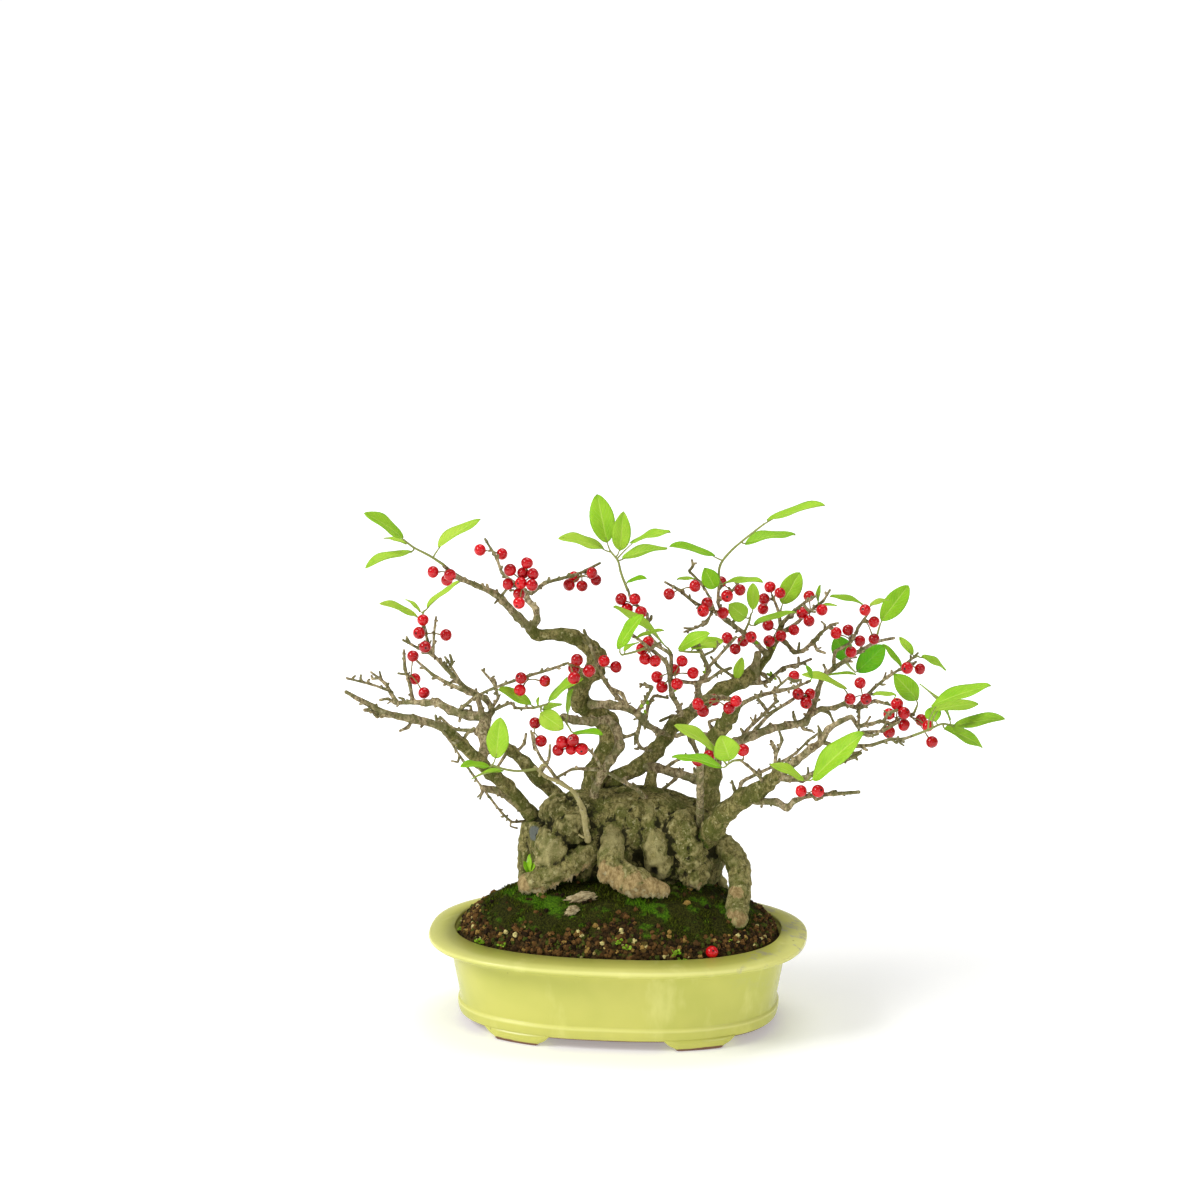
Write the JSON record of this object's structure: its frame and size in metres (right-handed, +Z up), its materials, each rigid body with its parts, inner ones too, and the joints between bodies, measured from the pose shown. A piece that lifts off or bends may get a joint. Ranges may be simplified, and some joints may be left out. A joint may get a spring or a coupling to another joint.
{
  "type": "japanese winterberry bonsai",
  "caption": "Gnarled deciduous holly bonsai with red berries and fresh leaves, in an oval glazed pot with an everted lip.",
  "frame": {"origin": "bottom centre of the whole plant's bounding box, on the surface the pot stands on", "axes": "+X to the right seen from the front, along the pot's long side, +Y to the back, +Z up"},
  "size_m": [0.2788, 0.1476, 0.2298],
  "materials": {
    "glaze": "satin",
    "soil": "matte",
    "bark": "matte",
    "old_wood": "matte",
    "leaf": "satin",
    "leaf_dark": "satin",
    "berry": "gloss",
    "net": "matte"
  },
  "bodies": {
    "root": {"pot": "glaze", "drain_net_left": "net", "drain_net_right": "net", "soil": "soil", "wood_flake": "old_wood", "berry_fallen": "berry", "tree": "bark", "leaves_top_left": "leaf", "leaves_left_pair": "leaf", "leaves_left_hanging": "leaf", "leaves_centre_left": "leaf", "leaves_centre_curl": "leaf", "leaves_top_middle": "leaf", "leaves_middle": "leaf", "leaves_middle_long": "leaf", "leaves_top_right": "leaf", "leaves_pad_right": "leaf", "leaves_pad_far": "leaf", "leaves_pad_low": "leaf", "leaves_right_tall": "leaf", "leaves_right_small": "leaf", "leaves_right_dark": "leaf_dark", "leaves_right_upper": "leaf", "leaves_right_single": "leaf", "leaves_right_tip": "leaf", "leaves_right_inner": "leaf", "leaves_right_low": "leaf", "leaves_front": "leaf", "berries_01": "berry", "berries_02": "berry", "berries_03": "berry", "berries_04": "berry", "berries_05": "berry", "berries_06": "berry", "berries_07": "berry", "berries_08": "berry", "berries_09": "berry", "berries_10": "berry", "berries_11": "berry", "berries_12": "berry", "berries_13": "berry", "berries_14": "berry", "berries_15": "berry", "berries_16": "berry", "berries_17": "berry", "berries_18": "berry", "berries_19": "berry", "berries_20": "berry", "berries_21": "berry", "berries_22": "berry", "berries_23": "berry", "berries_24": "berry", "berries_25": "berry", "berries_26": "berry", "berries_27": "berry", "berries_28": "berry", "berries_29": "berry", "berries_30": "berry", "berries_31": "berry", "berries_32": "berry"}
  },
  "joints": []
}
